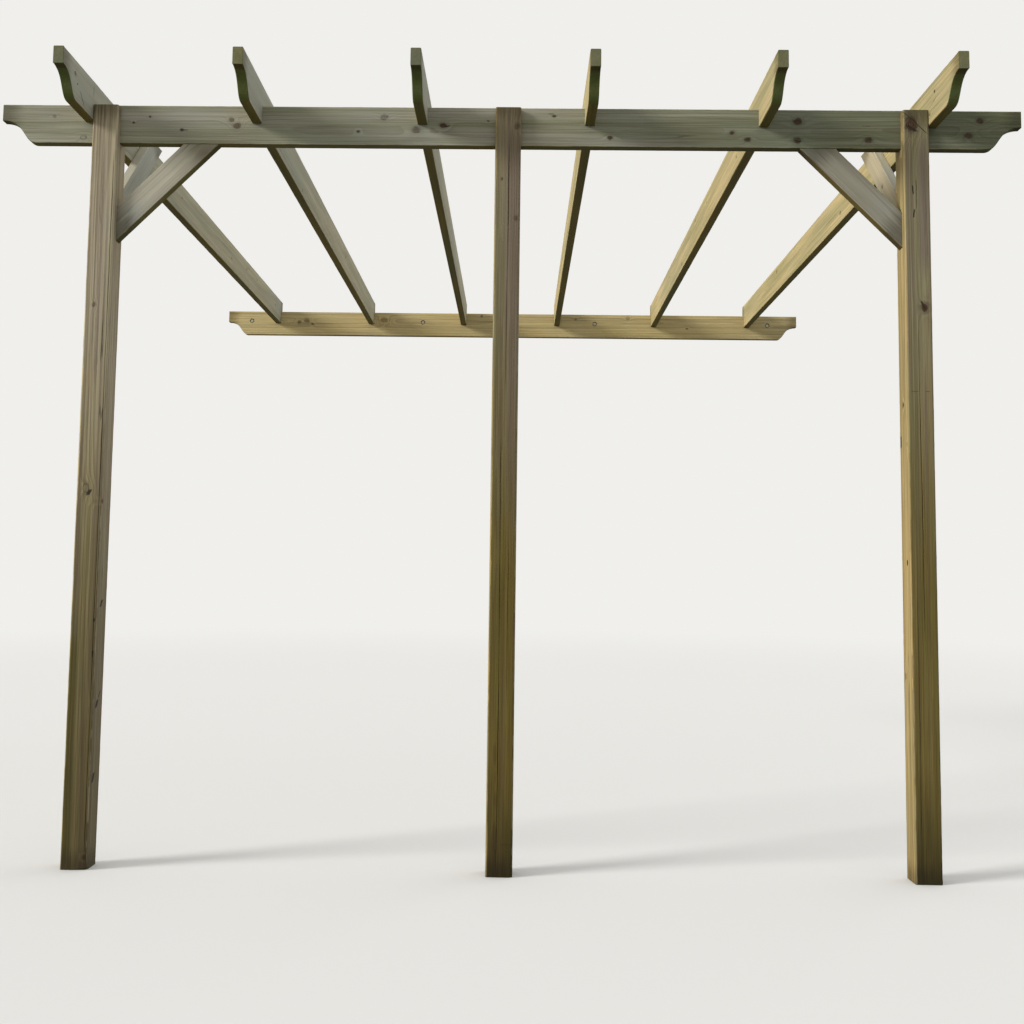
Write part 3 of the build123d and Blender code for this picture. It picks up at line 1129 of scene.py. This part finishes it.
def screw_head(radius):
    """A countersunk screw head with a cross recess, flush at Z = 0."""
    head = bmesh.new()
    ring = bmesh.ops.create_circle(head, segments=32, radius=radius)["verts"]
    arm, breadth = 0.46 * radius, 0.13 * radius
    corners = [(arm, -breadth), (arm, breadth), (breadth, breadth)]
    cross = []
    for quarter in range(4):
        turn = Matrix.Rotation(quarter * math.pi / 2, 2)
        cross += [head.verts.new((*(turn @ Vector(corner)), 0)) for corner in corners]
    slots = [head.edges.new((a, b)) for a, b in zip(cross, cross[1:] + cross[:1])]
    outline = list({edge for vert in ring for edge in vert.link_edges})
    bmesh.ops.triangle_fill(head, use_beauty=True, edges=outline + slots)
    for edges, shrink, deep in ((slots, 0.45, 0.5 * radius), (outline, 0.42, 0.75 * radius)):
        sunk = bmesh.ops.extrude_edge_only(head, edges=edges)["geom"]
        verts = only(sunk, BMVert)
        bmesh.ops.scale(head, vec=(shrink, shrink, 1), verts=verts)
        bmesh.ops.translate(head, vec=(0, 0, -deep), verts=verts)
        bmesh.ops.holes_fill(head, edges=only(sunk, BMEdge))
    bmesh.ops.recalc_face_normals(head, faces=head.faces)
    return head


def add_copies(whole, shape, places):
    """Adds a copy of a shape at each place: a point, the way its Z axis points, and a turn."""
    template = bpy.data.meshes.new("template")
    shape.to_mesh(template)
    shape.free()
    for point, outward, spin in places:
        before = len(whole.verts)
        whole.from_mesh(template)
        whole.verts.ensure_lookup_table()
        turn = Vector(outward).to_track_quat("Z", "Y").to_matrix().to_4x4()
        matrix = Matrix.Translation(point) @ turn @ Matrix.Rotation(spin, 4, "Z")
        bmesh.ops.transform(whole, matrix=matrix, verts=whole.verts[before:])
    bpy.data.meshes.remove(template)


def finish_fixing(whole, name, fixings):
    """Makes the joined fixings a piece of the part."""
    piece = place_mesh(whole, name, steel_material(fixings))
    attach(piece, "root")


def bolt_places(depth):
    """Where the four bolts sit, this far above the bottoms of their sunk holes."""
    draw = random.Random(5)
    seat = PLATE_LOW.y + WALL_BOLT_RECESS - depth
    return [((x, seat, WALL_BOLT_Z), FRONT, draw.uniform(0, math.pi)) for x in WALL_BOLT_X]


def screw_places():
    """Screws down through the rafters, into the beam through the posts' back cheeks, and from
    outside through the outer rafters into the back braces."""
    draw = random.Random(9)
    spots = []
    for number in range(1, 7):
        low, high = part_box(f"rafter_{number}")
        for y in ((BEAM_LOW.y + BEAM_HIGH.y) / 2, (PLATE_LOW.y + PLATE_HIGH.y) / 2):
            spots.append(((low.x + high.x) / 2, y, high.z + SCREW_PROUD, UP))
    for name in ("post_left", "post_centre", "post_right"):
        low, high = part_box(name)
        for side, z in POST_SCREWS:
            spots.append(((low.x + high.x) / 2 + side, high.y + SCREW_PROUD, z, ALONG_Y))
    for name, outward in (("rafter_1", -1), ("rafter_6", 1)):
        low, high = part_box(name)
        face = low.x if outward < 0 else high.x
        for y, z in BRACE_SCREWS:
            spots.append((face + outward * SCREW_PROUD, y, z, (outward, 0, 0)))
    return [((x, y, z), outward, draw.uniform(0, math.pi)) for x, y, z, outward in spots]


class PERGOLA_OT_groups(bpy.types.Operator):
    """Build the shader groups that all the timber shares"""

    bl_idname = "pergola.groups"
    bl_label = "Wood Shader Groups"

    def execute(self, context):
        for name, (fill, outputs) in GROUPS.items():
            build_group(name, fill, outputs)
        return {"FINISHED"}


class TimberOperator:
    """What the operators that model pieces of timber share."""

    bl_options = {"REGISTER", "UNDO"}
    timbers = ()

    def execute(self, context):
        for timber in self.timbers:
            build_timber(timber)
        return {"FINISHED"}


class PERGOLA_OT_posts(TimberOperator, bpy.types.Operator):
    """Finish the three slotted posts"""

    bl_idname = "pergola.posts"
    bl_label = "Posts"
    timbers = POSTS


class PERGOLA_OT_beam(TimberOperator, bpy.types.Operator):
    """Finish the front beam"""

    bl_idname = "pergola.beam"
    bl_label = "Front Beam"
    timbers = [BEAM]


class PERGOLA_OT_plate(bpy.types.Operator):
    """Give the wall plate its wood"""

    bl_idname = "pergola.plate"
    bl_label = "Wall Plate"

    def execute(self, context):
        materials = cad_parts[PLATE.node].data.materials
        materials.clear()
        materials.append(timber_material(PLATE))
        return {"FINISHED"}


class PERGOLA_OT_rafters(TimberOperator, bpy.types.Operator):
    """Finish the six rafters"""

    bl_idname = "pergola.rafters"
    bl_label = "Rafters"
    timbers = RAFTERS


class PERGOLA_OT_front_braces(TimberOperator, bpy.types.Operator):
    """Finish the braces under the front beam"""

    bl_idname = "pergola.front_braces"
    bl_label = "Front Braces"
    timbers = FRONT_BRACES


class PERGOLA_OT_back_braces(TimberOperator, bpy.types.Operator):
    """Finish the braces beside the outer rafters"""

    bl_idname = "pergola.back_braces"
    bl_label = "Back Braces"
    timbers = BACK_BRACES


class PERGOLA_OT_wall_bolts(bpy.types.Operator):
    """Add the four sunk bolts of the wall plate"""

    bl_idname = "pergola.wall_bolts"
    bl_label = "Wall Bolts"

    def execute(self, context):
        fixings = context.scene.pergola_fixings
        thick, outer, shank = fixings.washer_thickness, fixings.washer / 2, fixings.bolt_shank / 2
        hole = shank + WASHER_PLAY
        lip = 0.15 * thick
        length = BOARD_THICKNESS - WALL_BOLT_RECESS
        washer = lathe(40, [
            (hole, 0.0), (outer - lip, 0.0), (outer, lip), (outer, thick - lip),
            (outer - lip, thick), (hole, thick), (hole, 0.0),
        ])
        head = hexagon_head(fixings.bolt_head, fixings.bolt_head_height)
        stem = lathe(24, [(0.0, -length), (shank, -length), (shank, thick), (0.0, thick)])
        bolts = bmesh.new()
        for shape, depth in ((washer, 0.0), (head, thick), (stem, 0.0)):
            add_copies(bolts, shape, bolt_places(depth))
        finish_fixing(bolts, "wall_bolts", fixings)
        return {"FINISHED"}


class PERGOLA_OT_screws(bpy.types.Operator):
    """Add the screws of the rafters, the posts and the back braces"""

    bl_idname = "pergola.screws"
    bl_label = "Screws"

    def execute(self, context):
        fixings = context.scene.pergola_fixings
        screws = bmesh.new()
        add_copies(screws, screw_head(fixings.screw_head / 2), screw_places())
        finish_fixing(screws, "screws", fixings)
        return {"FINISHED"}


def floor_material(studio):
    """Pale floor whose edge can't be told from the background."""
    material, g = with_graph(bpy.data.materials.new("studio_floor"))
    x, y, z = g.split(g.node("ShaderNodeTexCoord", output="Object"))
    shown = g.node("ShaderNodeLightPath", output="Is Camera Ray")
    fade = g.smooth(g.distance(x, y), FADE_START, FADE_END) * shown
    paint = g.node("ShaderNodeBsdfPrincipled", {
        "Base Color": g.mix(shown, tuple(c * FLOOR_BOUNCE for c in studio.floor), studio.floor),
        "Roughness": 0.9, "Specular IOR Level": 0.1,
    })
    glow = g.node("ShaderNodeEmission", {"Color": BACKGROUND, "Strength": 1.0})
    mixed = g.node("ShaderNodeMixShader", {0: fade, 1: paint, 2: glow})
    g.add("ShaderNodeOutputMaterial", {"Surface": mixed})
    return material


def add_floor(studio):
    disc = bmesh.new()
    bmesh.ops.create_circle(disc, cap_ends=True, segments=96, radius=FLOOR_RADIUS)
    bmesh.ops.translate(disc, verts=disc.verts, vec=(0, FLOOR_Y, GROUND))
    floor = place_mesh(disc, "studio_floor", floor_material(studio))
    floor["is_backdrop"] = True


def add_sun(name, energy, direction, softness):
    """A far, soft lamp that shines from the given direction."""
    lamp = bpy.data.lights.new(name, "SUN")
    lamp.energy = energy
    lamp.angle = softness
    add_object(name, lamp, Vector(direction).to_track_quat("Z", "Y"))


def add_world(scene, fill):
    """Even light all round, behind which the camera sees the pale background."""
    scene.world, g = with_graph(bpy.data.worlds.new("studio_world"))
    ray = g.outputs("ShaderNodeLightPath")
    seen = g.larger(ray["Is Camera Ray"], g.larger(ray["Is Glossy Ray"], ray["Is Transmission Ray"]))
    light = g.node("ShaderNodeBackground", {"Color": WHITE, "Strength": fill})
    shown = g.node("ShaderNodeBackground", {"Color": BACKGROUND, "Strength": 1.0})
    mixed = g.node("ShaderNodeMixShader", {0: seen, 1: light, 2: shown})
    g.add("ShaderNodeOutputWorld", {"Surface": mixed})


def add_camera(scene, studio):
    lens = bpy.data.cameras.new("camera")
    lens.sensor_width = 36.0
    lens.lens = studio.focal_length
    lens.shift_x, lens.shift_y = studio.camera_shift
    aim = (
        Matrix.Rotation(studio.camera_pan, 3, "Z")
        @ Matrix.Rotation(math.pi / 2 + studio.camera_tilt, 3, "X")
        @ Matrix.Rotation(studio.camera_roll, 3, "Z")
    )
    scene.camera = add_object("camera", lens, aim.to_quaternion())
    scene.camera.location = studio.camera_place


class PERGOLA_OT_studio(bpy.types.Operator):
    """Set up the floor, the light and the camera"""

    bl_idname = "pergola.studio"
    bl_label = "Studio"

    def execute(self, context):
        studio = context.scene.pergola_studio
        add_floor(studio)
        add_sun("key_light", studio.key, KEY_DIRECTION, KEY_SOFTNESS)
        add_sun("side_light", studio.side, SIDE_DIRECTION, SIDE_SOFTNESS)
        add_world(context.scene, studio.fill)
        add_camera(context.scene, studio)
        context.scene.view_settings.view_transform = "Standard"
        return {"FINISHED"}


class PERGOLA_PT_sidebar(bpy.types.Panel):
    """Lists what builds the pergola, with the colours and sizes to change"""

    bl_idname = "PERGOLA_PT_sidebar"
    bl_label = "Lean-to Pergola"
    bl_space_type = "VIEW_3D"
    bl_region_type = "UI"
    bl_category = "Pergola"

    def draw(self, context):
        for operator in OPERATORS:
            self.layout.operator(operator.bl_idname)
        for settings, kind in SETTINGS.items():
            box = self.layout.box()
            for name in kind.__annotations__:
                box.prop(getattr(context.scene, settings), name)


OPERATORS = (
    PERGOLA_OT_groups, PERGOLA_OT_posts, PERGOLA_OT_beam, PERGOLA_OT_plate, PERGOLA_OT_rafters,
    PERGOLA_OT_front_braces, PERGOLA_OT_back_braces, PERGOLA_OT_wall_bolts, PERGOLA_OT_screws,
    PERGOLA_OT_studio,
)
SETTINGS = {
    "pergola_timber": PergolaTimberLook, "pergola_fixings": PergolaFixings,
    "pergola_studio": PergolaStudio,
}
CLASSES = (*SETTINGS.values(), *OPERATORS, PERGOLA_PT_sidebar)


def register():
    for item in CLASSES:
        bpy.utils.register_class(item)
    for name, kind in SETTINGS.items():
        setattr(bpy.types.Scene, name, bpy.props.PointerProperty(type=kind))


def unregister():
    for name in SETTINGS:
        delattr(bpy.types.Scene, name)
    for item in reversed(CLASSES):
        bpy.utils.unregister_class(item)


def main():
    register()
    for operator in OPERATORS:
        area, name = operator.bl_idname.split(".")
        getattr(getattr(bpy.ops, area), name)()
    low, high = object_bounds()


if __name__ == "__main__":
    main()
